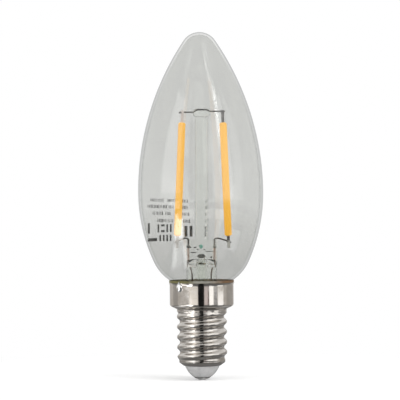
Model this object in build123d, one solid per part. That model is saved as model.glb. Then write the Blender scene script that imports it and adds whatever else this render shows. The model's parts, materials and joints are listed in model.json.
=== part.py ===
from build123d import *
import math
import os

# A clear candle lamp with two light emitting filaments, on a 14 mm screw cap.
# It stands cap down. The origin is the middle of the centre contact's lowest face and +Z runs up the
# lamp's axis. The filaments hang either side of the stem along X, and the front is -Y.
# All sizes are in millimetres and degrees.

# Screw cap
thread_major_diameter = 13.89
thread_minor_diameter = 12.29
thread_pitch = 2.822
thread_bottom = 5.15
thread_length = 14.05
first_crest = 4.81             # height of a crest at the +X side
run_out = 1.5                  # height over which the thread fades into plain sheet
sheet = 0.25
neck_diameter = 13.8
neck_length = 0.4
skirt_diameter = 17.72
skirt_length = 6.4
shoulder_rise = 0.95
shoulder_round = 0.9
neck_fillet = 0.35
rim_flare = 0.26
rim_flare_height = 0.5
cup_diameter = 12.8            # plain sheet below the thread
lip_diameter = 10.3
lip_height = 1.2
lip_straight = 0.3
lip_round = 0.4
band_step = 0.02               # how far the rolled band stands back from the plain sheet beside it

# Insulator and centre contact
contact_diameter = 4.95
contact_flat_diameter = 2.0
contact_height = 0.86
contact_bulge = 0.1
nail_diameter = 1.1
nail_length = 4.2
insulator_foot_diameter = 5.1
insulator_bulge = 0.28
insulator_plug_height = 2.25   # above the cap's lower lip

# Glass envelope
envelope_height = 96.5
belly_diameter = 34.75
belly_height = 51.9
tip_radius = 5.3
shoulder_radius = 12.3
collar_radius = 2.0
collar_turn = 56.4             # angle that the collar turns through between neck and shoulder
collar_drop = 1.02             # collar's centre below the cap's rim
glass_neck_bottom = 22.0
glass_wall = 0.7

# Stem: flare, pinch, exhaust tube and column
mount_lean = 0.5
flare_rim_height = 0.6
flare_neck_height = 26.6
stem_tube_diameter = 8.5
stem_wall = 0.65
stem_cavity_top = 31.2
pinch_bottom = 33.4
pinch_top = 38.9
pinch_width = 8.6
pinch_thickness = 2.7
pinch_round = 0.9
exhaust_diameter = 3.0
exhaust_bore = 1.8
exhaust_tip = 17.7
exhaust_seal = 1.35            # thickness of the melted tip
exhaust_socket_depth = 1.4
blow_hole_rise = 3.1           # above the top of the hollow stem
blow_hole_diameter = 1.5
column_diameter = 3.7
column_top = 72.9
button_diameter = 4.8
button_height = 2.3
button_round = 0.95

# Filaments
coat_length = 31.5
coat_bottom = 39.9
coat_width = 2.0
coat_thickness = 1.6
coat_round = 0.7
coat_end_round = 0.55
coat_cover = 0.7               # coating beyond each end of the strip
strip_width = 0.9
strip_thickness = 0.35
chip_count = 28
chip_length = 0.62
chip_width = 0.5
chip_thickness = 0.18
tab_reach = 3.4                # bare metal beyond the coating
tab_width = 0.8
tab_thickness = 0.2
left_filament_top = -5.45
left_filament_foot = -6.7
right_filament_top = 5.95
right_filament_foot = 7.4

# Wires
bridge_diameter = 0.42
bridge_crest = 74.68
bridge_arch = 2.1              # half the width of its arch through the button
bridge_bend = 1.4
left_bridge_height = 74.25
right_bridge_height = 74.5
left_bridge_end = -6.05
right_bridge_end = 6.5
lead_diameter = 0.42
left_lead = -3.6
right_lead = 3.5
bead_height = 36.9
bead_diameter = 0.8
seal_wire_diameter = 0.5
outer_lead_diameter = 0.4
lead_gather = 0.74             # share of their spread that the outer leads keep in the flare
gather_height = 3.2            # height over which they draw together
lead_crossing = 38.45          # where a lead crosses the filament's lower tab
lead_overhang = 0.85
lead_bend = 0.55
lead_crest = 39.2
joint_bottom = 33.2

# Joint between glass and cap
cement_layer = 0.71            # between glass neck and skirt
cement_bottom = 22.6
cement_top = 27.6
neutral_wire_diameter = 0.3
solder_azimuth = 227.0
solder_width = 1.9
solder_height = 2.6
solder_depth = 0.75
solder_over_rim = 0.15

# Driver board and its parts
board_width = 10.9
board_height = 10.8
board_thickness = 0.8
rectifier_size = (4.6, 2.3, 3.8)
rectifier_height = 13.7
chip_case_size = (4.9, 1.5, 3.9)
chip_case_height = 9.6
chip_pin_pitch = 1.27
chip_pin_lift = 0.7            # of the pins where they leave the case, above the board
rectifier_pin_pitch = 2.5
rectifier_pin_lift = 1.1
case_chamfer = 0.2
pin_width = 0.4
pin_thickness = 0.2
pin_shoulder = 0.45
pin_foot = 0.55
capacitor_diameter = 5.0
capacitor_length = 7.6
capacitor_bottom = 8.0
capacitor_edge = 0.3
capacitor_crimp = 1.2          # middle of the crimp below the top
crimp_half_width = 0.35
crimp_depth = 0.25
capacitor_lead_pitch = 2.0
part_lead_diameter = 0.45
lead_drop = 1.0                # from a part's end to where its lead bends
lead_turn = 0.5
lead_stub = 0.45               # what stands out past the board
nail_lead_rise = 0.7           # above the insulator, where a lead turns down beside the nail
resistor_diameter = 2.2
resistor_length = 5.4
resistor_bottom = 8.6
resistor_edge = 0.35
resistor_offset = 4.1
chip_resistor_size = (0.85, 0.45, 1.6)
chip_resistor_spread = 4.2
chip_resistor_height = 9.4
solder_joint_diameter = 1.1
pad_drop = 0.8                 # middle of the upper pads below the board's top
pad_reach = 1.0                # straight run of a wire to each side of where it joins the board
board_pad_height = 16.0
board_pad_side = 4.4

# Clearances
seat_gap = 0.03
seal_gap = 0.02
rim_gap = 0.1

# Heights and radii that follow
thread_top = thread_bottom + thread_length
shoulder_bottom = thread_top + neck_length
skirt_top = shoulder_bottom + shoulder_rise + skirt_length
neck_radius = neck_diameter / 2
cup_radius = cup_diameter / 2
skirt_radius = skirt_diameter / 2
skirt_inside = skirt_radius - sheet
lip_bottom = thread_bottom - lip_height
insulator_top = lip_bottom + insulator_plug_height
blow_hole_height = stem_cavity_top + blow_hole_rise
cap_bore = thread_minor_diameter / 2 - sheet
wire_hole_radius = nail_diameter / 2 + part_lead_diameter + 2 * seat_gap
glass_neck_diameter = skirt_diameter - 2 * sheet - 2 * cement_layer
flare_radius = glass_neck_diameter / 2 - glass_wall - rim_gap
filament_plane = -(lead_diameter + tab_thickness) / 2
board_face = board_thickness / 2
board_top = insulator_top + board_height
head_lead_height = board_pad_height + part_lead_diameter / 2
capacitor_back = board_face + seat_gap + capacitor_diameter / 2


def save(part, name):
    os.makedirs("parts", exist_ok=True)
    part.label = name
    export_step(part, f"parts/{name}.step")


def spun(profile):
    return revolve(profile, axis=Axis.Z)


def at(x, y, z):
    return Location((x, y, z))


def upright_rod(diameter, height):
    """A round bar that stands on the origin."""
    return Cylinder(diameter / 2, height, align=(Align.CENTER, Align.CENTER, Align.MIN))


def lean(part):
    """Turn a piece of the mount with the whole stem about the middle of its seal."""
    pivot = at(0, 0, glass_neck_bottom)
    return pivot * Rot(0, mount_lean, 0) * pivot.inverse() * part


def wire(points, diameter, bends):
    """A round wire along straight runs with rounded bends."""
    route = FilletPolyline(*points, radius=bends) if len(points) > 2 else Line(*points)
    section = Plane(origin=route @ 0, z_dir=route % 0) * Circle(diameter / 2)
    return sweep(section, path=route)


# Screw cap: one drawn and rolled shell
def rolled_radius(height, azimuth, inset):
    """Radius of the rolled sheet, whose section is equal arcs for crest and root."""
    quarter = thread_pitch / 4
    depth = (thread_major_diameter - thread_minor_diameter) / 2
    arc = (quarter**2 + depth**2 / 4) / depth
    rise = (height - first_crest) / thread_pitch - azimuth / (2 * math.pi)
    along = abs(rise - round(rise)) * thread_pitch
    if along <= (arc - inset) * quarter / arc:
        rolled = thread_major_diameter / 2 - arc + math.sqrt((arc - inset) ** 2 - along**2)
    else:
        from_root = thread_pitch / 2 - along
        rolled = thread_minor_diameter / 2 + arc - math.sqrt((arc + inset) ** 2 - from_root**2)
    return rolled


def fade(distance):
    share = min(max(distance / run_out, 0), 1)
    return share * share * (3 - 2 * share)


def rolled_body(inset, lower_radius, upper_radius):
    """The solid inside one skin of the thread, lofted through level sections.

    It fades into the plain sheet's radius at each end.
    """
    around = 16
    levels_per_pitch = 8
    levels = round(levels_per_pitch * thread_length / thread_pitch)
    sections = []
    for level in range(levels + 1):
        height = thread_bottom + thread_length * level / levels
        depth = fade(thread_top - height) * fade(height - thread_bottom)
        plain_radius = lower_radius if 2 * level < levels else upper_radius
        points = []
        for step in range(around):
            azimuth = 2 * math.pi * step / around
            radius = plain_radius + depth * (rolled_radius(height, azimuth, inset) - plain_radius)
            points.append(Vector(radius * math.cos(azimuth), radius * math.sin(azimuth), height))
        knots = [step / around for step in range(around + 1)]
        sections.append(Wire([Edge.make_spline(points, periodic=True, parameters=knots)]))
    return Solid.make_loft(sections)


def sheet_profile(points, bends):
    """A strip of sheet whose outer side follows the points."""
    line = FilletPolyline(*points, radius=bends)
    return make_face(Plane.XZ * offset(line, amount=sheet, side=Side.LEFT, closed=True))


def make_cap_shell():
    """Skirt, shoulder and neck above the thread, the rolled thread, and the lip turned in below it."""
    skirt_line = [
        (neck_radius, thread_top),
        (neck_radius, shoulder_bottom),
        (skirt_radius, shoulder_bottom + shoulder_rise),
        (skirt_radius, skirt_top - rim_flare_height),
        (skirt_radius + rim_flare, skirt_top),
    ]
    skirt = spun(sheet_profile(skirt_line, (neck_fillet, shoulder_round, shoulder_round)))
    lip_line = [
        (lip_diameter / 2, lip_bottom),
        (cup_radius, thread_bottom - lip_straight),
        (cup_radius, thread_bottom),
    ]
    lip = spun(sheet_profile(lip_line, (lip_round,)))
    outer = rolled_body(0, cup_radius - band_step, neck_radius - band_step)
    inner_step = sheet - band_step
    inner = rolled_body(sheet, cup_radius - inner_step, neck_radius - inner_step)
    return skirt + (outer - inner) + lip


# Insulator, pressed into the lip, and the nail that is the centre contact
def lip_inside(radius):
    """Height of the lip's inner face at a radius."""
    run = cup_radius - lip_diameter / 2
    rise = lip_height - lip_straight
    slope = rise / run
    return lip_bottom + (radius - lip_diameter / 2) * slope + sheet * math.hypot(run, rise) / run


def make_cap_insulator():
    mouth = lip_diameter / 2 - sheet - seat_gap
    plug = cap_bore - seat_gap
    foot = insulator_foot_diameter / 2
    shoulder = lip_inside(mouth) + seat_gap
    side = Vector(mouth - foot, lip_bottom - contact_height)
    bulge = Vector(side.Y, -side.X).normalized() * insulator_bulge
    middle = Vector((mouth + foot) / 2, (lip_bottom + contact_height) / 2) + bulge
    outline = [
        ThreePointArc((foot, contact_height), middle, (mouth, lip_bottom)),
        Polyline(
            (mouth, lip_bottom),
            (mouth, shoulder),
            (plug, lip_inside(plug) + seat_gap),
            (plug, insulator_top),
            (wire_hole_radius, insulator_top),
            (wire_hole_radius, contact_height),
            (foot, contact_height),
        ),
    ]
    return spun(Plane.XZ * make_face(outline))


def make_centre_contact():
    head = contact_diameter / 2
    flat = contact_flat_diameter / 2
    shank = nail_diameter / 2
    tip = contact_height + nail_length
    middle = Vector((head + flat) / 2 + contact_bulge, contact_height / 2 - contact_bulge)
    outline = [
        ThreePointArc((flat, 0), middle, (head, contact_height)),
        Polyline(
            (head, contact_height),
            (shank, contact_height),
            (shank, tip - nail_diameter / 2),
            (0, tip),
            (0, 0),
            (flat, 0),
        ),
    ]
    return spun(Plane.XZ * make_face(outline))


# Glass envelope: one blown candle shape of tangent arcs
def envelope_outline(inset):
    """Arcs from the tip to the neck's lower end, moved in by an even wall."""
    belly = belly_diameter / 2
    tip_centre = envelope_height - tip_radius
    climb = tip_centre - belly_height
    flank = (belly**2 + climb**2 - tip_radius**2) / (2 * (belly - tip_radius))
    flank_out = belly - flank
    tip_angle = math.atan2(climb, -flank_out)
    turn = math.radians(collar_turn)
    neck = glass_neck_diameter / 2
    collar_centre = Vector(neck + collar_radius, skirt_top - collar_drop)
    shoulder_reach = collar_radius + shoulder_radius
    shoulder_centre = collar_centre + Vector(-math.cos(turn), math.sin(turn)) * shoulder_reach
    inward = shoulder_centre - Vector(belly, belly_height)
    lower_flank = (shoulder_radius**2 - inward.length**2) / (2 * (inward.X + shoulder_radius))
    low_centre = Vector(belly - lower_flank, belly_height)
    low_angle = math.atan2(belly_height - shoulder_centre.Y, shoulder_centre.X - low_centre.X)

    def arc(centre, radius, start, end):
        points = []
        for angle in (start, (start + end) / 2, end):
            points.append(centre + Vector(math.cos(angle), math.sin(angle)) * radius)
        return ThreePointArc(*points)

    foot = Vector(neck - inset, glass_neck_bottom)
    return [
        arc(Vector(0, tip_centre), tip_radius - inset, math.pi / 2, tip_angle),
        arc(Vector(flank_out, belly_height), flank - inset, tip_angle, 0),
        arc(low_centre, lower_flank - inset, 0, -low_angle),
        arc(shoulder_centre, shoulder_radius - inset, -low_angle, -turn),
        arc(collar_centre, collar_radius + inset, math.pi - turn, math.pi),
        Line((neck - inset, collar_centre.Y), foot),
    ]


def envelope_body(inset):
    outline = envelope_outline(inset)
    foot = outline[-1] @ 1
    crown = outline[0] @ 0
    outline.append(Polyline(foot, (0, foot.Y), crown))
    return spun(Plane.XZ * make_face(outline))


def make_glass_envelope():
    return envelope_body(0) - envelope_body(glass_wall)


# Stem: flare and pinch in one piece, pressed round the wires and the exhaust tube
def flare_outline(inset, top):
    rim = flare_radius - inset
    tube = stem_tube_diameter / 2 - inset
    rim_top = glass_neck_bottom + flare_rim_height
    sweep_in = Spline(
        (rim, rim_top),
        (tube, flare_neck_height),
        tangents=[(-0.55, 1), (0, 1)],
    )
    inside = Polyline(
        (tube, flare_neck_height),
        (tube, top),
        (0, top),
        (0, glass_neck_bottom),
        (rim, glass_neck_bottom),
    )
    return [Line((rim, glass_neck_bottom), (rim, rim_top)), sweep_in, inside]


def make_stem():
    pinch_start = stem_cavity_top + stem_wall
    body = spun(Plane.XZ * make_face(flare_outline(0, pinch_start)))
    tube_end = Plane.XY.offset(pinch_start) * Circle(stem_tube_diameter / 2)
    blade = RectangleRounded(pinch_width, pinch_thickness, pinch_round)
    body += loft([tube_end, Plane.XY.offset(pinch_bottom) * blade])
    body += extrude(Plane.XY.offset(pinch_bottom) * blade, pinch_top - pinch_bottom)
    body -= spun(Plane.XZ * make_face(flare_outline(stem_wall, stem_cavity_top)))
    socket = exhaust_diameter / 2 + seal_gap
    body -= at(0, 0, stem_cavity_top) * Cylinder(socket, 2 * exhaust_socket_depth)
    body -= at(0, 0, stem_cavity_top) * upright_rod(exhaust_bore, blow_hole_height - stem_cavity_top)
    hole = upright_rod(blow_hole_diameter, pinch_thickness)
    body -= at(0, 0, blow_hole_height) * Rot(90, 0, 0) * hole
    for side in (left_lead, right_lead):
        body -= inner_lead(side, 2 * seal_gap)
        body -= seal_wire(side, 2 * seal_gap)
        body -= outer_lead(side, 2 * seal_gap)
    return body


def make_exhaust_tube():
    """Drawn glass tube, open into the pinch and melted shut at its lower tip."""
    top = stem_cavity_top + exhaust_socket_depth
    outer = exhaust_diameter / 2
    inner = exhaust_bore / 2
    full = exhaust_tip + exhaust_diameter
    sealed = exhaust_tip + exhaust_seal
    outline = [
        Spline((0, exhaust_tip), (outer, full), tangents=[(1, 0.2), (0, 1)]),
        Polyline((outer, full), (outer, top), (inner, top), (inner, full)),
        Spline((inner, full), (0, sealed), tangents=[(0, -1), (-1, -0.6)]),
        Line((0, sealed), (0, exhaust_tip)),
    ]
    return spun(Plane.XZ * make_face(outline))


def make_support_column():
    """Glass rod on the pinch, its hot end flattened to a button round the bridge wire."""
    rod = at(0, 0, pinch_top) * upright_rod(column_diameter, column_top - pinch_top)
    button = upright_rod(button_diameter, button_height)
    button = fillet(button.edges().filter_by(GeomType.CIRCLE), button_round)
    return rod + at(0, 0, column_top) * button - bridge_wire(2 * seal_gap)


# Wires inside the glass
def bridge_wire(extra):
    """The upper wire, arched through the button. Its ends hold up the filaments."""
    points = [
        (left_bridge_end, 0, left_bridge_height),
        (-bridge_arch, 0, left_bridge_height),
        (-bridge_arch / 2, 0, bridge_crest),
        (bridge_arch / 2, 0, bridge_crest),
        (bridge_arch, 0, right_bridge_height),
        (right_bridge_end, 0, right_bridge_height),
    ]
    return wire(points, bridge_diameter + extra, bridge_bend)


def inner_lead(side, extra):
    """Nickel lead from its weld bead in the pinch, up and out across the filament's lower tab."""
    out = math.copysign(1, side)
    foot = left_filament_foot if side < 0 else right_filament_foot
    points = [
        (side, 0, bead_height),
        (side, 0, lead_crest),
        (side + out * 2 * lead_bend, 0, lead_crest + lead_diameter / 6),
        (foot, 0, lead_crossing),
        (foot + out * lead_overhang, 0, lead_crossing - lead_overhang / 2),
    ]
    bead = at(side, 0, bead_height) * Sphere((bead_diameter + extra) / 2)
    return wire(points, lead_diameter + extra, (lead_bend, lead_bend, lead_bend)) + bead


def seal_wire(side, extra):
    top = bead_height - bead_diameter / 2
    return wire([(side, 0, joint_bottom), (side, 0, top)], seal_wire_diameter + extra, 0)


def outer_lead(side, extra):
    """Copper lead from the seal down through the flare to its pad on the driver board."""
    inward = side * lead_gather
    bend_height = joint_bottom - 1.5 * outer_lead_diameter
    pad = -board_face - outer_lead_diameter / 2 - seat_gap
    points = [
        (side, 0, joint_bottom),
        (side, 0, bend_height),
        (inward, 0, bend_height - gather_height),
        (inward, 0, glass_neck_bottom - pad_reach),
        (inward, pad, board_top + pad_reach),
        (inward, pad, board_top - pad_reach),
    ]
    return wire(points, outer_lead_diameter + extra, 1)


# Filaments: a strip with its row of chips and end tabs, inside a yellow coating
def hang(part, top, foot):
    """Place a filament made upright at the origin so that it runs from its foot to its top."""
    tilt = math.degrees(math.atan2(top - foot, coat_length))
    return lean(at(foot, filament_plane, coat_bottom) * Rot(0, tilt, 0) * part)


def upright_box(width, depth, height, bottom):
    return at(0, 0, bottom) * Box(width, depth, height, align=(Align.CENTER, Align.CENTER, Align.MIN))


def filament_strip():
    return upright_box(strip_width, strip_thickness, coat_length - 2 * coat_cover, coat_cover)


def filament_chips():
    pitch = (coat_length - 2 * coat_cover) / chip_count
    front = -(strip_thickness + chip_thickness) / 2
    chips = []
    for number in range(chip_count):
        bottom = coat_cover + number * pitch + (pitch - chip_length) / 2
        chips.append(at(0, front, 0) * upright_box(chip_width, chip_thickness, chip_length, bottom))
    return chips


def filament_tab(above):
    length = tab_reach + coat_cover
    bottom = coat_length - coat_cover if above else -tab_reach
    return upright_box(tab_width, tab_thickness, length, bottom)


def filament_coat():
    blank = extrude(RectangleRounded(coat_width, coat_thickness, coat_round), coat_length)
    ends = blank.edges().filter_by_position(Axis.Z, 0, 0) + blank.edges().filter_by_position(
        Axis.Z, coat_length, coat_length
    )
    blank = fillet(ends, coat_end_round)
    inside = [filament_strip(), filament_tab(True), filament_tab(False)] + filament_chips()
    return blank - inside


# Joint between glass and cap
def neutral_wire(extra):
    """Bare wire from the driver board, up beside the glass neck and over the cap's rim."""
    def spot(radius, height):
        angle = math.radians(solder_azimuth)
        return (radius * math.cos(angle), radius * math.sin(angle), height)

    thick = neutral_wire_diameter
    pad = -board_face - thick / 2 - seat_gap
    slot = skirt_inside - thick / 2 - 2 * seal_gap
    rim = skirt_radius + rim_flare
    over = skirt_top + 1.2 * thick
    down = rim + 0.7 * thick
    points = [
        (-board_pad_side, pad, board_top - 2 * pad_reach),
        (-board_pad_side, pad, board_top + pad_reach),
        spot(slot - 5 * thick, shoulder_bottom + pad_reach),
        spot(slot, cement_bottom - 2 * thick),
        spot(slot, skirt_top - 2 * thick),
        spot(rim - 2 * sheet, skirt_top),
        spot(rim - sheet, over),
        spot(rim, over),
        spot(down, skirt_top),
        spot(down, skirt_top - solder_height / 2),
    ]
    return wire(points, thick + extra, (0.5, 0.8, 0.8, 0.4, 0.2, 0.2, 0.2, 0.2))


def make_basing_cement(shell):
    """Cement that fills the skirt round the glass neck and stands on the rim as a narrow collar."""
    in_glass = glass_neck_diameter / 2 - glass_wall / 2
    in_sheet = skirt_radius - sheet / 2
    outline = Polyline(
        (in_glass, cement_bottom),
        (in_sheet, cement_bottom),
        (in_sheet, skirt_top - rim_flare_height),
        (skirt_radius, skirt_top),
        (skirt_radius + rim_flare / 2, skirt_top + sheet / 2),
        (skirt_radius + rim_flare / 2, cement_top),
        (in_glass, cement_top),
        close=True,
    )
    fill = spun(Plane.XZ * make_face(outline))
    ring = fill - envelope_body(0) - shell - neutral_wire(2 * seal_gap)
    return ring.solids().sort_by(SortBy.VOLUME)[-1]


def make_side_solder(shell, neutral, cement):
    """Soft solder run over the wire's end on the skirt."""
    drop = scale(Sphere(1), by=(solder_depth, solder_width / 2, solder_height / 2))
    height = skirt_top - solder_height / 2 + solder_over_rim
    drop = Rot(0, 0, solder_azimuth) * at(skirt_radius, 0, height) * drop
    core = Cylinder(skirt_radius - sheet / 2, skirt_top * 2)
    lump = drop - core - shell - neutral - cement - envelope_body(0)
    return lump.solids().sort_by(SortBy.VOLUME)[-1]


# Driver board and the parts on it
def on_front(part, depth, height, across=0):
    """Stand a part of some depth against the board's front face."""
    return at(across, -board_face - depth / 2, height) * part


def make_driver_board():
    board = upright_box(board_width, board_thickness, board_height, insulator_top)
    hole = Cylinder(part_lead_diameter / 2 + seal_gap, 4 * board_thickness, rotation=(90, 0, 0))
    for side in (-1, 1):
        board -= at(side * capacitor_lead_pitch / 2, 0, capacitor_bottom - lead_drop) * hole
    return board - at(0, 0, head_lead_height) * hole


def gull_pins(case, case_height, pitch, rows, lift):
    """Bent pins along both sides of a small moulded case, from its middle down to the board."""
    side_face = case[0] / 2
    foot = side_face + pin_shoulder + pin_foot
    pins = []
    for side in (-1, 1):
        for row in range(rows):
            level = case_height + (row - (rows - 1) / 2) * pitch
            line = Polyline(
                (side * side_face, -board_face - lift),
                (side * (side_face + pin_shoulder), -board_face - lift),
                (side * (side_face + pin_shoulder), -board_face - pin_thickness / 2),
                (side * foot, -board_face - pin_thickness / 2),
            )
            strip = trace(line, pin_thickness)
            pins.append(at(0, 0, level - pin_width / 2) * extrude(strip, pin_width))
    return pins


def make_rectifier():
    case = chamfer(Box(*rectifier_size).edges(), case_chamfer)
    return on_front(case, rectifier_size[1], rectifier_height)


def make_driver_chip():
    case = chamfer(Box(*chip_case_size).edges(), case_chamfer)
    return on_front(case, chip_case_size[1], chip_case_height)


def make_capacitor():
    """Round can behind the board, crimped below its top."""
    radius = capacitor_diameter / 2
    crimp = capacitor_length - capacitor_crimp
    outline = Polyline(
        (0, 0),
        (radius - capacitor_edge, 0),
        (radius, capacitor_edge),
        (radius, crimp - crimp_half_width),
        (radius - crimp_depth, crimp),
        (radius, crimp + crimp_half_width),
        (radius, capacitor_length - capacitor_edge),
        (radius - capacitor_edge, capacitor_length),
        (0, capacitor_length),
        close=True,
    )
    return at(0, capacitor_back, capacitor_bottom) * spun(Plane.XZ * make_face(outline))


def make_capacitor_leads():
    leads = []
    level = capacitor_bottom - lead_drop
    for side in (-1, 1):
        x = side * capacitor_lead_pitch / 2
        points = [
            (x, capacitor_back, capacitor_bottom),
            (x, capacitor_back, level),
            (x, -board_face - lead_stub, level),
        ]
        leads.append(wire(points, part_lead_diameter, lead_turn))
    return leads


def make_chip_resistors():
    width, depth, height = chip_resistor_size
    body = Box(width, depth, height)
    return [on_front(body, depth, chip_resistor_height, side * chip_resistor_spread) for side in (-1, 1)]


def make_fusible_resistor():
    can = upright_rod(resistor_diameter, resistor_length)
    can = fillet(can.edges().filter_by(GeomType.CIRCLE), resistor_edge)
    return at(0, -resistor_offset, resistor_bottom) * can


def make_fusible_resistor_leads():
    beside_nail = -(nail_diameter + part_lead_diameter) / 2 - seat_gap
    foot = [
        (0, -resistor_offset, resistor_bottom),
        (0, -resistor_offset, resistor_bottom - lead_drop),
        (0, beside_nail, insulator_top + nail_lead_rise),
        (0, beside_nail, contact_height + lead_stub),
    ]
    head = [
        (0, -resistor_offset, resistor_bottom + resistor_length),
        (0, -resistor_offset, head_lead_height),
        (0, board_face + lead_stub, head_lead_height),
    ]
    return [wire(foot, part_lead_diameter, lead_turn), wire(head, part_lead_diameter, lead_turn)]


def make_board_joints(neutral):
    """Domes of solder on the board's front where the wires come through or lie on their pads."""
    upper_pads = board_top - pad_drop
    leads = make_capacitor_leads() + make_fusible_resistor_leads()
    leads += [neutral, lean(outer_lead(left_lead, 0)), lean(outer_lead(right_lead, 0))]
    pads = [
        (-capacitor_lead_pitch / 2, capacitor_bottom - lead_drop),
        (capacitor_lead_pitch / 2, capacitor_bottom - lead_drop),
        (0, head_lead_height),
        (-board_pad_side, upper_pads),
        (left_lead * lead_gather, upper_pads),
        (right_lead * lead_gather, upper_pads),
    ]
    in_front = at(0, -board_face, 0) * Box(
        board_width, board_width, 2 * envelope_height, align=(Align.CENTER, Align.MAX, Align.CENTER)
    )
    domes = []
    for across, height in pads:
        dome = at(across, -board_face, height) * Sphere(solder_joint_diameter / 2) & in_front
        dome -= leads
        domes.append(dome.solids().sort_by(SortBy.VOLUME)[-1])
    return domes


# Every piece by its name
def build():
    shell = make_cap_shell()
    glass = make_glass_envelope()
    neutral = neutral_wire(0)
    cement = make_basing_cement(shell)
    save(glass, "glass_envelope")
    save(shell, "cap_shell")
    save(neutral, "neutral_wire")
    save(cement, "basing_cement")
    save(make_side_solder(shell, neutral, cement), "side_solder")
    save(make_cap_insulator(), "cap_insulator")
    save(make_centre_contact(), "centre_contact")
    save(lean(make_stem()), "stem_flare")
    save(lean(make_exhaust_tube()), "exhaust_tube")
    save(lean(make_support_column()), "support_column")
    save(lean(bridge_wire(0)), "top_bridge_wire")
    for hand, side in (("left", left_lead), ("right", right_lead)):
        save(lean(inner_lead(side, 0)), f"{hand}_inner_lead")
        save(lean(seal_wire(side, 0)), f"{hand}_seal_wire")
        save(lean(outer_lead(side, 0)), f"{hand}_outer_lead")
    filaments = (
        ("left", left_filament_top, left_filament_foot),
        ("right", right_filament_top, right_filament_foot),
    )
    for hand, top, foot in filaments:
        save(hang(filament_coat(), top, foot), f"{hand}_filament_coat")
        save(hang(filament_strip(), top, foot), f"{hand}_filament_strip")
        save(hang(Compound(filament_chips()), top, foot), f"{hand}_led_chips")
        save(hang(filament_tab(True), top, foot), f"{hand}_filament_top_tab")
        save(hang(filament_tab(False), top, foot), f"{hand}_filament_bottom_tab")
    save(make_driver_board(), "driver_board")
    save(make_rectifier(), "bridge_rectifier")
    pins = gull_pins(rectifier_size, rectifier_height, rectifier_pin_pitch, 2, rectifier_pin_lift)
    save(Compound(pins), "rectifier_pins")
    save(make_driver_chip(), "driver_chip")
    pins = gull_pins(chip_case_size, chip_case_height, chip_pin_pitch, 3, chip_pin_lift)
    save(Compound(pins), "driver_chip_pins")
    save(make_capacitor(), "smoothing_capacitor")
    save(Compound(make_capacitor_leads()), "capacitor_leads")
    save(Compound(make_chip_resistors()), "chip_resistors")
    save(make_fusible_resistor(), "fusible_resistor")
    save(Compound(make_fusible_resistor_leads()), "fusible_resistor_leads")
    save(Compound(make_board_joints(neutral)), "board_solder_joints")


build()
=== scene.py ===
"""Looks of a clear filament lamp, in metres. The solids of the frame get their finishes, and the print, the
welds and the other small things that the solids leave out are laid on them."""

import json
import math
import random

import bpy
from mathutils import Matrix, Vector
from mathutils.bvhtree import BVHTree


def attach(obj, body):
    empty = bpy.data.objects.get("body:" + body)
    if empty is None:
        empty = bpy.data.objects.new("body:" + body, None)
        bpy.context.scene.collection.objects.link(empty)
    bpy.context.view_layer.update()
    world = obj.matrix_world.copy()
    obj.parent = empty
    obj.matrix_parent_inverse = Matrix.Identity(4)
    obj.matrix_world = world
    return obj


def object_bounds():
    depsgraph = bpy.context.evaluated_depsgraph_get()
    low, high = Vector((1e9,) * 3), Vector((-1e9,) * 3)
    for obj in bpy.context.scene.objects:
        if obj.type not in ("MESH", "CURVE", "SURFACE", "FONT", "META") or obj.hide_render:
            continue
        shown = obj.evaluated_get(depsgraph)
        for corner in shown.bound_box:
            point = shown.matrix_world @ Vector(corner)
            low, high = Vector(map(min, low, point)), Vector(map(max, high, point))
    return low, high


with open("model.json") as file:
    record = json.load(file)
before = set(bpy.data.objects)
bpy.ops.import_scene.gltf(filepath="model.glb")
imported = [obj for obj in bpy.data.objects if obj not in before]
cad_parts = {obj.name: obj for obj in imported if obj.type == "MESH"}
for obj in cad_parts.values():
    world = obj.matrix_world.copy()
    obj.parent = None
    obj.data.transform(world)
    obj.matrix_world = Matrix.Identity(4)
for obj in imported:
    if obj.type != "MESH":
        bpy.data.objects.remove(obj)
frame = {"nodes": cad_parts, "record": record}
cad_low, cad_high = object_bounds()
nodes = frame["nodes"]

MM = 0.001

# The photograph: its side in pixels, pixels to a metre at the lamp's axis, the column of that axis, and the
# row and height of the cap's upper rim
PHOTO_SIDE = 400
PIXELS_PER_METRE = 3600
AXIS_PIXEL = 200.75
RIM_PIXEL = 282.3
RIM_HEIGHT = 27.0 * MM

# Camera: how far off it stands, how far it is turned about its own axis, and its sensor in millimetres
CAMERA_DISTANCE = 0.573
LEAN_DEGREES = 0.55
SENSOR = 36.0
NEAREST_SEEN = 10 * MM

# Light: how bright the world alone makes a white surface, and how far off the lamps stand
WORLD_SHARE = 0.46
LAMP_DISTANCE = 0.75

# Noise: how much its finer waves count, and the grain of opaque surfaces in millimetres
NOISE_ROUGHNESS = 0.55
GRAIN = 0.4

# Clear glass: the share that a skin mirrors straight on, and how much more it mirrors at a flat look
MIRRORED = 0.04
MIRRORED_MORE = 0.07
# What a skin lets through, and what the outer skin lets through at a flat look
FACE_ON = (0.876, 0.878, 0.870)
SKIMMED = (0.725, 0.73, 0.725)
# Painted shade down by the cap: how much of that is left there, and the heights between which it rises to
# all of it
FOOT_PAINTED_SHADE = 0.955
FOOT_LOW = 32 * MM
FOOT_HIGH = 46 * MM

# Cap: where its thread ends under the skirt, and half the height over which the roughness and the painted
# shade of the thread change there
THREAD_TOP = 19.4 * MM
THREAD_BLUR = 0.5 * MM

# Cement: how far to each side of the axis its colours reach
CEMENT_REACH = 9 * MM

# Wires and tabs of two tones: half the length over which the tone changes
TONE_BLUR = 0.15 * MM

# Floor: its white, the light that it adds near the lamp, how far off it starts and ends to turn plain white,
# how far it reaches, and how far it lies under the lamp
FLOOR_WHITE = (0.90, 0.90, 0.90, 1)
FLOOR_LIFT = 0.31
FADE_START = 15 * MM
FADE_END = 100 * MM
FLOOR_REACH = 4.0
FLOOR_DROP = 0.05 * MM

WHITE = (1, 1, 1, 1)


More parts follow.
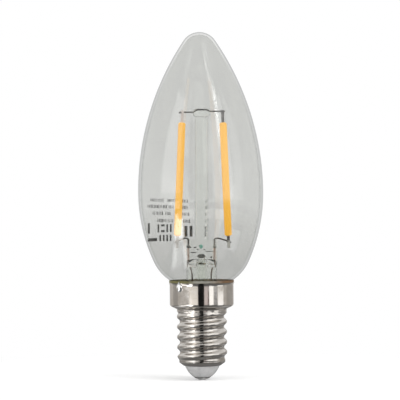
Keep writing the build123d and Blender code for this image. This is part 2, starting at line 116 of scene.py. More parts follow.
class Shading:
    """The node tree of a material or of the world."""

    def __init__(self, owner, output="OutputMaterial"):
        owner.use_nodes = True
        self.owner = owner
        self.tree = owner.node_tree
        self.tree.nodes.clear()
        self.output = self.add(output)

    def add(self, kind, sockets=None, **settings):
        """A new node. A socket's value is another node's output, or a constant."""
        node = self.tree.nodes.new("ShaderNode" + kind)
        for key, value in settings.items():
            setattr(node, key, value)
        for key, value in (sockets or {}).items():
            if isinstance(value, bpy.types.NodeSocket):
                self.tree.links.new(value, node.inputs[key])
            else:
                node.inputs[key].default_value = value
        return node

    def math(self, operation, *values):
        return self.add("Math", dict(enumerate(values)), operation=operation).outputs[0]

    def vector(self, operation, *values):
        """A sum on vectors, whose result is a vector too, or else a number."""
        result = "Value" if operation in ("LENGTH", "DOT_PRODUCT") else "Vector"
        return self.add("VectorMath", dict(enumerate(values)), operation=operation).outputs[result]

    def place(self, stretch=(1, 1, 1)):
        """Where a point lies in the part, in metres, stretched along each axis."""
        point = self.add("TexCoord").outputs["Object"]
        if stretch == (1, 1, 1):
            return point
        return self.add("Mapping", {"Vector": point, "Scale": stretch}).outputs["Vector"]

    def along(self, axis):
        """How far along that axis a point lies, in metres."""
        return self.add("SeparateXYZ", {0: self.place()}).outputs[axis]

    def noise(self, size, detail=3, stretch=(1, 1, 1)):
        """Cloudy noise whose patches are about size millimetres wide."""
        sockets = {
            "Vector": self.place(stretch),
            "Scale": 1 / (size * MM),
            "Detail": detail,
            "Roughness": NOISE_ROUGHNESS,
        }
        return self.add("TexNoise", sockets).outputs["Fac"]

    def ramp(self, value, *stops):
        """Colours along a value, each stop a place and a colour."""
        node = self.add("ValToRGB", {"Fac": value})
        band = node.color_ramp
        while len(band.elements) < len(stops):
            band.elements.new(0.5)
        for element, (place, colour) in zip(band.elements, stops):
            element.position = place
            element.color = (*colour, 1)
        return node.outputs["Color"]

    def between(self, value, low, high, start=0.3, end=0.7):
        """value, from start to end, drawn out between low and high. Noise lies mostly from 0.3 to 0.7."""
        sockets = {"Value": value, "From Min": start, "From Max": end, "To Min": low, "To Max": high}
        return self.add("MapRange", sockets).outputs["Result"]

    def bump(self, height, depth):
        """Relief of depth millimetres."""
        return self.add("Bump", {"Height": height, "Distance": depth * MM}).outputs["Normal"]

    def seen_straight(self):
        """1 for what the camera sees itself, through glass or in a mirror, and 0 for light on its way."""
        path = self.add("LightPath").outputs
        mirror = self.math("MAXIMUM", path["Is Camera Ray"], path["Is Glossy Ray"])
        return self.math("MAXIMUM", mirror, path["Is Transmission Ray"])

    def mix(self, share, first, second):
        """The first shader where share is 0, and the second where it is 1."""
        return self.add("MixShader", {0: share, 1: first.outputs[0], 2: second.outputs[0]})

    def show(self, shader):
        """Ends the tree in that shader, and gives back the material or the world."""
        self.tree.links.new(shader.outputs[0], self.output.inputs["Surface"])
        return self.owner


def new_finish(name):
    return Shading(bpy.data.materials.new(name))


def solid_finish(name, dark, light, patch, roughness, depth, constants=None):
    """An opaque finish: two tones in patches, uneven gloss and a fine grain."""
    finish = new_finish(name)
    sockets = {
        "Base Color": finish.ramp(finish.noise(patch), (0.32, dark), (0.68, light)),
        "Roughness": finish.between(finish.noise(patch * 0.6), *roughness),
        "Normal": finish.bump(finish.noise(GRAIN, detail=5), depth),
    }
    sockets.update(constants or {})
    return finish.show(finish.add("BsdfPrincipled", sockets))


# Opaque finishes: dark tone, light tone, patches in millimetres, roughness from and to, relief in
# millimetres, and sockets of their own
METAL = {"Metallic": 1.0}
PART_METAL = {"Metallic": 0.3}
GLAZED = {"Coat Weight": 0.6}
MILKY = {
    "Subsurface Weight": 0.25,
    "Subsurface Radius": (2 * MM, 2 * MM, 2 * MM),
    "Coat Weight": 0.3,
    "Coat Roughness": 0.15,
}
SOLID_FINISHES = {
    "insulator": ((0.60, 0.60, 0.60), (0.72, 0.71, 0.705), 3.0, (0.22, 0.38), 0.01, MILKY),
    "contact_metal": ((0.10, 0.10, 0.10), (0.62, 0.61, 0.59), 0.8, (0.25, 0.5), 0.05, METAL),
    "solder": ((0.70, 0.70, 0.69), (0.90, 0.90, 0.89), 0.7, (0.06, 0.2), 0.06, METAL),
    "tinned_wire": ((0.50, 0.50, 0.50), (0.72, 0.72, 0.71), 0.8, (0.25, 0.4), 0.01, METAL),
    "lead_metal": ((0.13, 0.125, 0.115), (0.33, 0.32, 0.295), 1.6, (0.28, 0.45), 0.01, METAL),
    "seal_wire": ((0.58, 0.42, 0.36), (0.86, 0.70, 0.64), 0.9, (0.3, 0.5), 0.01, PART_METAL),
    "copper": ((0.10, 0.075, 0.06), (0.26, 0.19, 0.15), 1.4, (0.25, 0.42), 0.01, METAL),
    "tab_metal": ((0.14, 0.13, 0.125), (0.44, 0.41, 0.39), 1.3, (0.25, 0.45), 0.02, METAL),
    "ceramic_strip": ((0.70, 0.69, 0.66), (0.82, 0.81, 0.78), 1.0, (0.5, 0.7), 0.01),
    "led_chip": ((0.10, 0.12, 0.20), (0.20, 0.24, 0.34), 0.4, (0.15, 0.3), 0.005),
    "circuit_board": ((0.02, 0.10, 0.045), (0.04, 0.17, 0.08), 1.8, (0.3, 0.5), 0.02),
    "black_moulding": ((0.012, 0.012, 0.013), (0.03, 0.03, 0.032), 1.0, (0.4, 0.6), 0.02),
    "capacitor_sleeve": ((0.02, 0.03, 0.06), (0.05, 0.06, 0.11), 2.0, (0.25, 0.4), 0.01),
    "resistor_body": ((0.10, 0.22, 0.28), (0.16, 0.32, 0.40), 1.2, (0.3, 0.45), 0.02),
    "weld_metal": ((0.06, 0.058, 0.055), (0.22, 0.21, 0.20), 0.7, (0.25, 0.5), 0.04, METAL),
    # Painted highlight: a weld painted near white where a reflection falls on it
    "weld_painted_highlight": ((0.82, 0.80, 0.77), (0.97, 0.96, 0.94), 0.7, (0.25, 0.5), 0.02),
    "green_glaze": ((0.26, 0.60, 0.47), (0.36, 0.74, 0.60), 0.7, (0.15, 0.3), 0.02, GLAZED),
    # Painted shade in the creases of the glass
    "crease_painted_shade": ((0.06, 0.062, 0.055), (0.24, 0.245, 0.22), 0.6, (0.2, 0.4), 0.02),
    # Painted shade in the mouth of the blow hole
    "blow_hole_shade": ((0.06, 0.06, 0.054), (0.30, 0.305, 0.28), 0.5, (0.2, 0.4), 0.02),
}


def make_clear_glass():
    """Thin blown glass. Each skin takes a little light, and mirrors more of it the flatter it is looked at.
    The outer skin also takes more at a flat look, which darkens the lamp's outline, and painted shade
    darkens it down by the cap."""
    finish = new_finish("clear_glass")
    facing = finish.add("LayerWeight", {"Blend": 0.5}).outputs["Facing"]
    mirrored = finish.math("MULTIPLY_ADD", finish.math("POWER", facing, 5.0), MIRRORED_MORE, MIRRORED)
    geometry = finish.add("NewGeometry").outputs
    leaving = finish.vector("DOT_PRODUCT", geometry["Normal"], finish.place((1, 1, 0)))
    outward = finish.math("GREATER_THAN", leaving, 0.0)
    # The outer skin's normal leaves the axis, but on a back face it comes turned round
    inner = finish.math("COMPARE", geometry["Backfacing"], outward, 0.5)
    flat_look = finish.math("MULTIPLY", facing, finish.math("SUBTRACT", 1.0, inner))
    passed = finish.ramp(flat_look, (0.0, FACE_ON), (0.6, FACE_ON), (0.78, SKIMMED), (1.0, SKIMMED))
    # Painted shade: down by the cap the glass lets less through
    kept = finish.between(finish.along("Z"), FOOT_PAINTED_SHADE, 1.0, FOOT_LOW, FOOT_HIGH)
    through = finish.add("BsdfTransparent", {"Color": finish.vector("MULTIPLY", passed, kept)})
    waves = finish.bump(finish.noise(7.0, detail=1), 0.03)
    gloss = finish.add("BsdfAnisotropic", {"Color": WHITE, "Roughness": 0.02, "Normal": waves})
    return finish.show(finish.mix(mirrored, through, gloss))


def make_stem_glass():
    """Solid glass with drawn streaks along it. Light for other things goes straight through."""
    finish = new_finish("stem_glass")
    streaks = finish.bump(finish.noise(1.1, detail=2, stretch=(1, 1, 0.06)), 0.10)
    sockets = {"Color": (0.995, 1.0, 0.99, 1), "Roughness": 0.0, "IOR": 1.29, "Normal": streaks}
    glass = finish.add("BsdfGlass", sockets)
    clear = finish.add("BsdfTransparent", {"Color": (0.93, 0.94, 0.93, 1)})
    path = finish.add("LightPath").outputs
    lamp_light = finish.math("MAXIMUM", path["Is Shadow Ray"], path["Is Diffuse Ray"])
    return finish.show(finish.mix(lamp_light, glass, clear))


def make_nickel():
    """Plated nickel, warm and bright, with faint turning marks round the cap. On the thread it is rougher,
    and painted shade darkens it.
    """
    finish = new_finish("nickel")
    height = finish.along("Z")
    change = THREAD_TOP - THREAD_BLUR, THREAD_TOP + THREAD_BLUR
    tone = finish.ramp(finish.noise(2.2), (0.3, (0.60, 0.565, 0.52)), (0.7, (0.68, 0.65, 0.615)))
    worn = finish.between(finish.noise(1.1, detail=5), 0.07, 0.15)
    sockets = {
        # Painted shade: the thread's colour is darkened
        "Base Color": finish.vector("MULTIPLY", tone, finish.between(height, 0.84, 1.0, *change)),
        "Metallic": 1.0,
        "Roughness": finish.math("ADD", worn, finish.between(height, 0.06, 0.0, *change)),
        "Normal": finish.bump(finish.noise(0.5, detail=4, stretch=(0.15, 0.15, 1.0)), 0.005),
    }
    return finish.show(finish.add("BsdfPrincipled", sockets))


def make_phosphor():
    """The yellow coating: soft, slightly grainy, with a painted glow that stands in for how the blue part of
    the light on it lights it up.
    """
    finish = new_finish("phosphor")
    cloud = finish.noise(2.6, detail=4)
    sockets = {
        "Base Color": finish.ramp(cloud, (0.3, (0.96, 0.56, 0.04)), (0.7, (0.99, 0.62, 0.06))),
        "Roughness": finish.between(finish.noise(0.8), 0.45, 0.62),
        "Normal": finish.bump(finish.noise(0.35, detail=4), 0.02),
        # Painted glow: the coating glows the same under any light
        "Emission Color": (1.0, 0.38, 0.01, 1),
        "Emission Strength": 0.5,
    }
    return finish.show(finish.add("BsdfPrincipled", sockets))


def make_cement():
    """Basing cement, olive at the lamp's left, grey in the middle and brown at its right."""
    finish = new_finish("cement")
    across = finish.between(finish.along("X"), 0.0, 1.0, -CEMENT_REACH, CEMENT_REACH)
    olive, grey, brown = (0.20, 0.18, 0.05), (0.40, 0.385, 0.33), (0.22, 0.115, 0.045)
    tone = finish.ramp(across, (0.0, olive), (0.28, olive), (0.42, grey), (0.6, grey), (0.85, brown))
    sockets = {
        "Base Color": finish.vector("MULTIPLY", tone, finish.between(finish.noise(1.6), 0.6, 1.0)),
        "Roughness": finish.between(finish.noise(1.0), 0.5, 0.8),
        "Normal": finish.bump(finish.noise(0.5, detail=5), 0.12),
    }
    return finish.show(finish.add("BsdfPrincipled", sockets))


def make_ink():
    finish = new_finish("print_ink")
    worn = finish.noise(0.9, detail=4)
    sockets = {
        "Base Color": finish.ramp(worn, (0.35, (0.012, 0.012, 0.012)), (0.75, (0.06, 0.06, 0.058))),
        "Roughness": finish.between(finish.noise(0.6), 0.45, 0.65),
    }
    return finish.show(finish.add("BsdfPrincipled", sockets))


FINISHES = {name: solid_finish(name, *row) for name, row in SOLID_FINISHES.items()}
FINISHES.update({
    "clear_glass": make_clear_glass(),
    "stem_glass": make_stem_glass(),
    "nickel": make_nickel(),
    "phosphor": make_phosphor(),
    "cement": make_cement(),
    "print_ink": make_ink(),
})

# Small wires and tabs with painted highlights: axis and place where the tone changes, how much it is metal,
# and the tone before that place and after it. The pale, rosy and grey tones are painted highlights.
DARK, GREY_PAINTED_HIGHLIGHT, PAINTED_HIGHLIGHT, ROSY_PAINTED_HIGHLIGHT = (0.11, 0.105, 0.10), (0.60, 0.59, 0.52), (0.95, 0.90, 0.86), (0.92, 0.80, 0.75)
PAINTED_HIGHLIGHT_TONES = {
    "left_filament_top_tab": ("X", 0.0, 0.2, ROSY_PAINTED_HIGHLIGHT, ROSY_PAINTED_HIGHLIGHT),
    "left_filament_bottom_tab": ("Z", 39.6 * MM, 0.0, PAINTED_HIGHLIGHT, PAINTED_HIGHLIGHT),
    "left_inner_lead": ("X", -5.1 * MM, 0.2, PAINTED_HIGHLIGHT, DARK),
    "right_filament_bottom_tab": ("Z", 38.6 * MM, 0.3, GREY_PAINTED_HIGHLIGHT, DARK),
}


def painted_highlight_finish(name, axis, edge, metallic, first, second):
    """A wire or tab that is one tone before a place along an axis and another after it, one or both a
    painted highlight.
    """
    finish = new_finish(name)
    part = finish.between(finish.along(axis), 0.0, 1.0, edge - TONE_BLUR, edge + TONE_BLUR)
    tone = finish.ramp(part, (0.0, first), (1.0, second))
    sockets = {
        "Base Color": finish.vector("MULTIPLY", tone, finish.between(finish.noise(0.9), 0.8, 1.05)),
        "Roughness": finish.between(finish.noise(0.7), 0.3, 0.5),
        "Metallic": metallic,
        "Normal": finish.bump(finish.noise(0.4, detail=5), 0.01),
    }
    return finish.show(finish.add("BsdfPrincipled", sockets))


def dress_nodes():
    """Gives each solid the finish of its slot in the record, apart from those with painted highlights."""
    for row in frame["record"]["subparts"]:
        slots = nodes[row["node"]].data.materials
        slots.clear()
        slots.append(FINISHES[row["material_slot"]])
    for name, tones in PAINTED_HIGHLIGHT_TONES.items():
        nodes[name].data.materials[0] = painted_highlight_finish(name, *tones)


def look_from(azimuth, elevation, distance, centre):
    """A point at that distance from centre. Azimuth 0 is the photograph's side, and 90 the lamp's right."""
    turn, rise = math.radians(azimuth), math.radians(elevation)
    out = Vector((math.sin(turn) * math.cos(rise), -math.cos(turn) * math.cos(rise), math.sin(rise)))
    return Vector(centre) + out * distance


def photo_spot(across, down):
    """Where a pixel of the photograph lies in the plane through the lamp's axis, as x and z."""
    return (across - AXIS_PIXEL) / PIXELS_PER_METRE, RIM_HEIGHT + (RIM_PIXEL - down) / PIXELS_PER_METRE


def grid_faces(across, along):
    """The faces of a grid of points, numbered row by row."""
    faces = []
    for row in range(along):
        for column in range(across):
            first = row * (across + 1) + column
            faces.append((first, first + 1, first + across + 2, first + across + 1))
    return faces


def add_object(name, points, faces, material, smooth=True):
    mesh = bpy.data.meshes.new(name)
    mesh.from_pydata([tuple(point) for point in points], [], faces)
    mesh.polygons.foreach_set("use_smooth", [smooth] * len(mesh.polygons))
    mesh.materials.append(material)
    piece = bpy.data.objects.new(name, mesh)
    bpy.context.scene.collection.objects.link(piece)
    return piece


def add_piece(name, points, faces, material, slot=None, smooth=True):
    """A small thing that the solids leave out."""
    piece = add_object(name, points, faces, material, smooth)
    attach(piece, "root")


# Print on the back of the glass, in rows of plain strokes with no letters: how thick the ink is, how far
# behind the axis the search for the glass starts, and how finely a stroke is bent to it
PRINT_THICKNESS = 0.012 * MM
BEHIND_GLASS = 50 * MM
STROKE_GRID = 0.5 * MM
# Strokes of the small rows: from one to the next, and their middling width and greatest height
STROKE_PITCH = 0.42 * MM
STROKE_WIDTH = 0.19 * MM
STROKE_HEIGHT = 1.05 * MM
# How far a row falls for each metre to the right
ROW_SLOPE = 0.045
# Left and right end of each group of strokes in the photograph, and the height of the row's left end there
SMALL_ROWS = {
    "print_row_a": (((149.6, 164.1), (166.8, 176.0), (182.0, 188.6)), 199.4),
    "print_row_b": (((146.9, 166.8), (168.0, 175.5), (182.0, 189.4)), 205.8),
    "print_row_c": (((151.9, 162.6), (164.5, 171.8), (181.7, 190.1)), 212.9),
    "print_row_d": (((156.5, 174.0), (182.5, 190.6)), 220.4),
}
# Larger strokes: left end, right end, top and bottom in the photograph
BLOCKS = {
    "print_block_a": (147.0, 149.0, 223.0, 233.5),
    "print_block_b": (156.5, 158.2, 224.5, 232.5),
    "print_block_c": (160.0, 163.6, 224.5, 226.6),
    "print_block_d": (160.0, 163.6, 230.4, 232.5),
    "print_block_e": (165.4, 167.1, 224.5, 232.5),
    "print_block_f": (169.0, 170.7, 224.5, 232.5),
    "print_block_g": (147.0, 156.0, 238.2, 241.4),
    "print_block_h": (158.3, 160.0, 235.2, 241.6),
    "print_block_i": (161.8, 163.5, 235.2, 241.6),
    "print_block_j": (165.3, 167.0, 235.2, 241.6),
    "print_block_k": (168.8, 170.5, 235.2, 241.6),
    "print_block_l": (183.8, 186.8, 226.5, 237.5),
    "print_block_m": (189.0, 192.0, 226.5, 237.5),
}


def glass_tree():
    """The glass as a search tree, for what is laid on it."""
    mesh = nodes["glass_envelope"].data
    points = [vertex.co for vertex in mesh.vertices]
    return BVHTree.FromPolygons(points, [list(face.vertices) for face in mesh.polygons])


def lay_stroke(points, faces, tree, left, right, low, high):
    """Adds a flat stroke on the back of the glass, straight behind these ends in the plane of the axis."""
    across = max(1, round((right - left) / STROKE_GRID))
    along = max(1, round((high - low) / STROKE_GRID))
    first = len(points)
    for row in range(along + 1):
        z = low + (high - low) * row / along
        for column in range(across + 1):
            x = left + (right - left) * column / across
            spot, normal = tree.ray_cast(Vector((x, BEHIND_GLASS, z)), Vector((0, -1, 0)))[:2]
            points.append(spot + normal * PRINT_THICKNESS)
    for face in grid_faces(across, along):
        faces.append(tuple(first + corner for corner in reversed(face)))


def add_print(name, strokes, tree):
    """One piece of print from strokes, each given by its left and right end, bottom and top."""
    points, faces = [], []
    for stroke in strokes:
        lay_stroke(points, faces, tree, *stroke)
    add_piece(name, points, faces, FINISHES["print_ink"], smooth=False)


def row_strokes(groups, down, chance):
    """The strokes of one row, uneven in width and height, as left and right end, bottom and top."""
    row_start = photo_spot(groups[0][0], down)[0]
    for start, end in groups:
        left, height = photo_spot(start, down)
        right = photo_spot(end, down)[0]
        for number in range(int((right - left) / STROKE_PITCH)):
            near = left + number * STROKE_PITCH
            width = STROKE_WIDTH * chance.uniform(0.7, 1.5)
            half = STROKE_HEIGHT / 2 * chance.uniform(0.75, 1.0)
            line = height - ROW_SLOPE * (near - row_start)
            yield near, near + width, line - half, line + half


def make_print():
    tree = glass_tree()
    chance = random.Random(7)
    for name, (groups, down) in SMALL_ROWS.items():
        add_print(name, row_strokes(groups, down, chance), tree)
    for name, (start, end, top, bottom) in BLOCKS.items():
        left, high = photo_spot(start, top)
        right, low = photo_spot(end, bottom)
        add_print(name, [(left, right, low, high)], tree)


def lump(name, centre, halves, finish, slot=None, waves=0.12, seed=1):
    """A small melted bead: a ball of these half sizes whose skin swells and sinks a little."""
    chance = random.Random(seed)
    phases = [chance.uniform(0, math.tau) for _ in range(3)]
    around, rows = 20, 12
    points = []
    for row in range(rows + 1):
        rise = math.pi * (row / rows - 0.5)
        for step in range(around + 1):
            turn = math.tau * step / around
            ripple = math.sin(2 * turn + phases[0]) + 0.6 * math.sin(3 * turn + 2 * rise + phases[1])
            swell = 1 + waves * math.cos(rise) * ripple
            swell += waves * 0.5 * math.sin(3 * rise + phases[2])
            out = math.cos(turn) * math.cos(rise), math.sin(turn) * math.cos(rise), math.sin(rise)
            offset = Vector([value * swell * half for value, half in zip(out, halves)])
            points.append(Vector(centre) + offset)
    add_piece(name, points, grid_faces(around, rows), finish, slot)


# Welds where the wires cross the end tabs: middle and half sizes in millimetres, and finish
WELDS = {
    "weld_left_top": ((-5.42, -0.34, 74.20), (0.46, 0.30, 0.32), "weld_metal"),
    "weld_right_top": ((6.04, -0.16, 74.42), (0.48, 0.38, 0.36), "weld_metal"),
    # This weld is painted near white, a painted highlight
    "weld_left_bottom": ((-6.60, -0.16, 38.42), (0.30, 0.32, 0.28), "weld_painted_highlight"),
    "weld_right_bottom": ((7.42, -0.16, 38.30), (0.32, 0.32, 0.30), "weld_metal"),
}


def make_welds():
    for number, (name, (centre, halves, finish)) in enumerate(WELDS.items()):
        lump(name, Vector(centre) * MM, Vector(halves) * MM, FINISHES[finish], "lead_metal", seed=number)


# Marks on the front of the pinch: where that face lies, and how far a crease stands out of it
PINCH_FACE = -1.35 * MM
CREASE_RISE = 0.05 * MM
# The dab of glaze and the painted shade in the mouth of the blow hole: middle in the photograph, and half
# sizes
DAB_PIXEL, DAB_HALVES = (200.6, 246.4), (0.50 * MM, 0.12 * MM, 0.56 * MM)
MOUTH_PIXEL, MOUTH_HALVES = (200.9, 256.0), (1.08 * MM, 0.07 * MM, 0.56 * MM)
# Painted shade in creases, and specks: middle in the photograph, and width and height in pixels
CREASES = {
    "crease_a": (189.9, 247.1, 2.4, 1.3),
    "crease_b": (194.7, 247.3, 2.6, 1.2),
    "crease_c": (197.2, 249.2, 2.0, 0.9),
    "crease_d": (193.0, 252.3, 5.2, 1.1),
    "crease_e": (208.8, 251.4, 7.2, 0.8),
    "crease_f": (199.0, 245.3, 1.2, 0.9),
    "crease_g": (210.7, 257.2, 2.0, 2.0),
    "crease_h": (204.0, 249.5, 1.6, 0.8),
}


def pinch_mark(name, pixel, halves, finish, **details):
    """A flat bead on the front of the pinch."""
    x, z = photo_spot(*pixel)
    lump(name, (x, PINCH_FACE, z), halves, FINISHES[finish], **details)


def make_pinch_marks():
    """A dab of blue-green glaze, painted shade in the creases of the glass, and painted shade in the mouth
    of the blow hole.
    """
    pinch_mark("pinch_dab", DAB_PIXEL, DAB_HALVES, "green_glaze", waves=0.06, seed=11)
    for number, (name, (across, down, width, height)) in enumerate(CREASES.items()):
        halves = width / 2 / PIXELS_PER_METRE, CREASE_RISE, height / 2 / PIXELS_PER_METRE
        pinch_mark(name, (across, down), halves, "crease_painted_shade", seed=number)
    # Painted shade laid over the mouth of the blow hole
    pinch_mark("blow_hole_mouth", MOUTH_PIXEL, MOUTH_HALVES, "blow_hole_shade", waves=0.05, seed=21)


def make_floor():
    """A white floor that keeps the lamp's shadow near it and runs into the white background further off."""
    finish = new_finish("floor_white")
    paint = finish.add("BsdfDiffuse", {"Color": FLOOR_WHITE})
    lift = finish.add("Emission", {"Strength": FLOOR_LIFT})
    near = finish.add("AddShader", {0: paint.outputs[0], 1: lift.outputs[0]})
    far = finish.add("Emission", {"Strength": 1.0})
    fade = finish.between(finish.vector("LENGTH", finish.place()), 0.0, 1.0, FADE_START, FADE_END)
    top = finish.mix(finish.seen_straight(), paint, finish.mix(fade, near, far))
    below = finish.add("NewGeometry").outputs["Backfacing"]
    material = finish.show(finish.mix(below, top, finish.add("BsdfTransparent")))
    corners = [(-1, -1), (1, -1), (1, 1), (-1, 1)]
    points = [(x * FLOOR_REACH, y * FLOOR_REACH, -FLOOR_DROP) for x, y in corners]
    add_object("floor", points, [(0, 1, 2, 3)], material)


def make_world():
    """Even light from all round, and a white background wherever it is seen."""
    world = Shading(bpy.data.worlds.new("studio"), "OutputWorld")
    light = world.add("Background", {"Color": WHITE, "Strength": WORLD_SHARE})
    white = world.add("Background", {"Color": WHITE, "Strength": 1.0})
    bpy.context.scene.world = world.show(world.mix(world.seen_straight(), light, white))


# Soft lamps: azimuth, elevation, width, and how bright each makes a white surface that faces it
LAMPS = {
    "lamp_right": (55, 35, 0.5, 0.34),
    "lamp_left": (-60, 25, 0.6, 0.22),
    "lamp_top": (10, 80, 0.6, 0.30),
}


def make_lamps(middle):
    for name, (azimuth, elevation, width, share) in LAMPS.items():
        data = bpy.data.lights.new(name, "AREA")
        data.shape = "DISK"
        data.size = width
        # At this power the lamp makes a white surface that faces it as bright as share
        data.energy = share * (math.pi * LAMP_DISTANCE) ** 2
        lamp = bpy.data.objects.new(name, data)
        lamp.location = look_from(azimuth, elevation, LAMP_DISTANCE, middle)
        lamp.rotation_mode = "QUATERNION"
        lamp.rotation_quaternion = (lamp.location - Vector(middle)).to_track_quat("Z", "Y")
        lamp.visible_glossy = False
        bpy.context.scene.collection.objects.link(lamp)


# Cards that only mirrors see: degrees in a step of a bent one, the fewest steps, and the steps of a flat one
CARD_STEP = 5
FEWEST_STEPS = 2
TABLE_STEPS = 6
WARM, PLAIN, ROSE, BLUSH = (1.0, 0.965, 0.92), (1, 1, 1), (0.95, 0.66, 0.62), (1.0, 0.88, 0.87)

# Far round the lamp: azimuth and elevation of the lower left, lower right, upper right and upper left
# corner, distance, brightness, colour and faded share
FAR_CARDS = {
    "card_room": (((-180, -5), (180, -5), (180, 54), (-180, 54)), 0.54, 0.95, PLAIN, 0.0),
    "card_softbox": (((-82, -4), (-35, -4), (-37, 45), (-68, 45)), 0.50, 2.15, PLAIN, 0.22),
    "card_body": (((-24, -4), (8, -4), (4, 36), (-22, 36)), 0.48, 0.42, PLAIN, 0.25),
    "card_lobe": (((-22, -5), (29, -5), (25, 10), (-18, 10)), 0.455, 0.30, PLAIN, 0.35),
    "card_window": (((24, -4), (42, -4), (41, 34), (20, 34)), 0.46, 1.5, PLAIN, 0.08),
    "card_strip": (((39, 36), (49, 36), (37, 65), (25, 65)), 0.45, 2.3, PLAIN, 0.5),
    "card_veil": (((40, -5), (64, -5), (58, 44), (38, 40)), 0.47, 2.0, PLAIN, 0.12),
    "card_right": (((64, -5), (85, -5), (85, 20), (64, 50)), 0.47, 1.5, PLAIN, 0.1),
}

# Round the lamp's foot: azimuths, lower and upper edge and distance in millimetres, brightness, colour and
# faded share
WALL_CARDS = {
    "wall_room": ((-32, 303), (1, 22), 150, 0.60, WARM, 0.0),
    "wall_left_mid": ((-57, -32), (13, 22), 150, 0.62, WARM, 0.0),
    "wall_softbox": ((-60, -36), (22, 39), 150, 2.15, PLAIN, 0.22),
    "wall_left_dim": ((-120, -88), (1, 26), 64, 0.40, WARM, 0.3),
    "wall_left": ((-180, -75), (1, 26), 65, 0.58, WARM, 0.0),
    "wall_near_left": ((-48, -8), (1, 22), 148, 1.22, WARM, 0.45),
    "wall_camera": ((-12.5, 9), (1, 39), 146, 0.008, PLAIN, 0.05),
    "wall_lens": ((-10.3, 7.0), (1, 27.5), 20, 0.008, PLAIN, 0.04),
    "wall_blush": ((8, 23), (1, 22), 147, 0.80, BLUSH, 0.3),
    "wall_rose": ((21, 26.5), (1, 22), 146, 0.16, ROSE, 0.3),
    "wall_window": ((26, 42), (1, 22), 148, 1.6, PLAIN, 0.06),
    "wall_frame": ((43, 58), (1, 22), 148, 0.36, PLAIN, 0.1),
    "wall_right": ((55.5, 80.5), (1, 23), 63, 1.4, PLAIN, 0.15),
    "wall_right_back": ((84, 180), (1, 26), 65, 0.56, WARM, 0.0),
    "wall_far_right": ((94, 145), (1, 26), 64, 0.42, WARM, 0.2),
}

# On the table: corners and height in millimetres, brightness and faded share
TABLE_CARDS = {
    "table": (((-540, -540), (540, -540), (540, 540), (-540, 540)), 0.6, 0.22, 0.8),
    "table_left": (((-38, -18), (-9, -8), (-9, 14), (-38, 38)), 0.9, 0.5, 0.3),
    "table_right": (((10, 0), (38, 0), (38, 38), (10, 20)), 0.9, 0.5, 0.3),
    "table_body": (((-34, -75), (42, -66), (262, -400), (-180, -440)), 0.9, 0.05, 0.25),
    "table_front": (((-26, -9), (48, -9), (70, -62), (-40, -62)), 0.95, 0.16, 0.25),
    "table_glint": (((-66, -38), (-38, -55), (-114, -176), (-162, -145)), 1.0, 7.5, 0.35),
    "table_glow": (((-35, 15), (-19, -11), (-37, -65), (-69, -44)), 1.02, 1.5, 0.8),
    "table_glow_left": (((-35, 15), (-28, -1), (-57, -54), (-69, -44)), 1.05, 3.4, 0.7),
    "table_glow_right": (((-19, -11), (-11, -16), (-37, -65), (-49, -59)), 1.05, 3.2, 0.6),
    "table_window": (((25, -59), (36, -55), (94, -117), (73, -131)), 1.1, 1.2, 0.4),
}


def card_finish(name, brightness, colour, faded):
    """Plain light, fading to nothing at the card's sides."""
    finish = new_finish(name)
    glow = finish.add("Emission", {"Color": (*colour, 1), "Strength": brightness})
    if not faded:
        return finish.show(glow)
    from_middle = finish.vector("SUBTRACT", finish.add("TexCoord").outputs["UV"], (0.5, 0.5, 0.0))
    split = finish.add("SeparateXYZ", {0: finish.vector("ABSOLUTE", from_middle)}).outputs
    fade_start = 0.5 - faded / 2
    shares = []
    for axis in ("X", "Y"):
        fade = {"Value": split[axis], "From Min": fade_start, "From Max": 0.5, "To Min": 1.0, "To Max": 0.0}
        shares.append(finish.add("MapRange", fade, interpolation_type="SMOOTHSTEP").outputs["Result"])
    kept = finish.math("MULTIPLY", *shares)
    return finish.show(finish.mix(kept, finish.add("BsdfTransparent"), glow))


def add_card(name, corners, across, along, spot, *look):
    """A card between four corners. spot makes a point of what lies between them, and look is the brightness,
    colour and faded share."""
    points, marks = [], []
    low_left, low_right, high_right, high_left = [Vector((*corner, 0)) for corner in corners]
    for row in range(along + 1):
        for column in range(across + 1):
            u, v = column / across, row / along
            low, high = low_left.lerp(low_right, u), high_left.lerp(high_right, u)
            points.append(spot(low.lerp(high, v)))
            marks.append((u, v))
    card = add_object(name, points, grid_faces(across, along), card_finish(name, *look))
    layer = card.data.uv_layers.new(name="card")
    for corner in card.data.loops:
        layer.data[corner.index].uv = marks[corner.vertex_index]
    card.visible_camera = False
    card.visible_diffuse = False
    card.visible_transmission = False
    card.visible_shadow = False


def card_steps(reach):
    """How many steps a card of that many degrees is bent in."""
    return max(FEWEST_STEPS, round(reach / CARD_STEP))


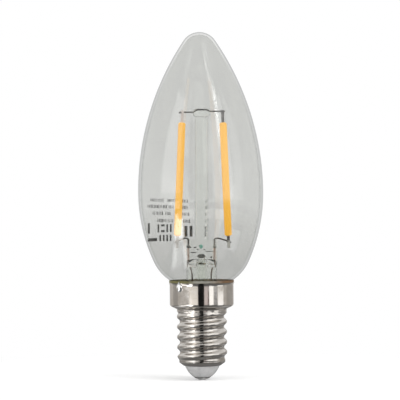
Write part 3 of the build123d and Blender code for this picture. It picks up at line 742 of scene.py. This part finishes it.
def make_far_card(name, corners, distance, middle, *look):
    def spot(place):
        return look_from(place.x, place.y, distance, middle)

    (left, low), (right, right_low), (top_right, high), (top_left, left_high) = corners
    across = card_steps(max(right - left, top_right - top_left))
    along = card_steps(max(left_high - low, high - right_low))
    add_card(name, corners, across, along, spot, *look)


def make_wall_card(name, azimuths, heights, distance, *look):
    def spot(place):
        side = look_from(place.x, 0, distance * MM, (0, 0, 0))
        return Vector((side.x, side.y, place.y * MM))

    left, right = azimuths
    low, high = heights
    corners = (left, low), (right, low), (right, high), (left, high)
    add_card(name, corners, card_steps(right - left), FEWEST_STEPS, spot, *look)


def make_table_card(name, corners, height, brightness, faded):
    def spot(place):
        return Vector((place.x, place.y, height)) * MM

    add_card(name, corners, TABLE_STEPS, TABLE_STEPS, spot, brightness, PLAIN, faded)


def make_cards(middle):
    for name, (corners, distance, *look) in FAR_CARDS.items():
        make_far_card(name, corners, distance, middle, *look)
    for name, row in WALL_CARDS.items():
        make_wall_card(name, *row)
    for name, row in TABLE_CARDS.items():
        make_table_card(name, *row)


def make_camera():
    centre_height = RIM_HEIGHT + (RIM_PIXEL - PHOTO_SIDE / 2) / PIXELS_PER_METRE
    data = bpy.data.cameras.new("camera")
    data.sensor_width = SENSOR
    data.lens = SENSOR * PIXELS_PER_METRE * CAMERA_DISTANCE / PHOTO_SIDE
    data.clip_start = NEAREST_SEEN
    camera = bpy.data.objects.new("camera", data)
    camera.location = ((PHOTO_SIDE / 2 - AXIS_PIXEL) / PIXELS_PER_METRE, -CAMERA_DISTANCE, centre_height)
    camera.rotation_euler = (math.pi / 2, math.radians(LEAN_DEGREES), 0)
    bpy.context.scene.collection.objects.link(camera)
    bpy.context.scene.camera = camera


dress_nodes()
make_print()
make_welds()
make_pinch_marks()
make_floor()
make_world()
centre = (0, 0, (cad_low.z + cad_high.z) / 2)
make_lamps(centre)
make_cards(centre)
make_camera()

# A look through the lamp passes many skins
bpy.context.scene.cycles.transparent_max_bounces = 32
bpy.context.scene.view_settings.view_transform = "Standard"
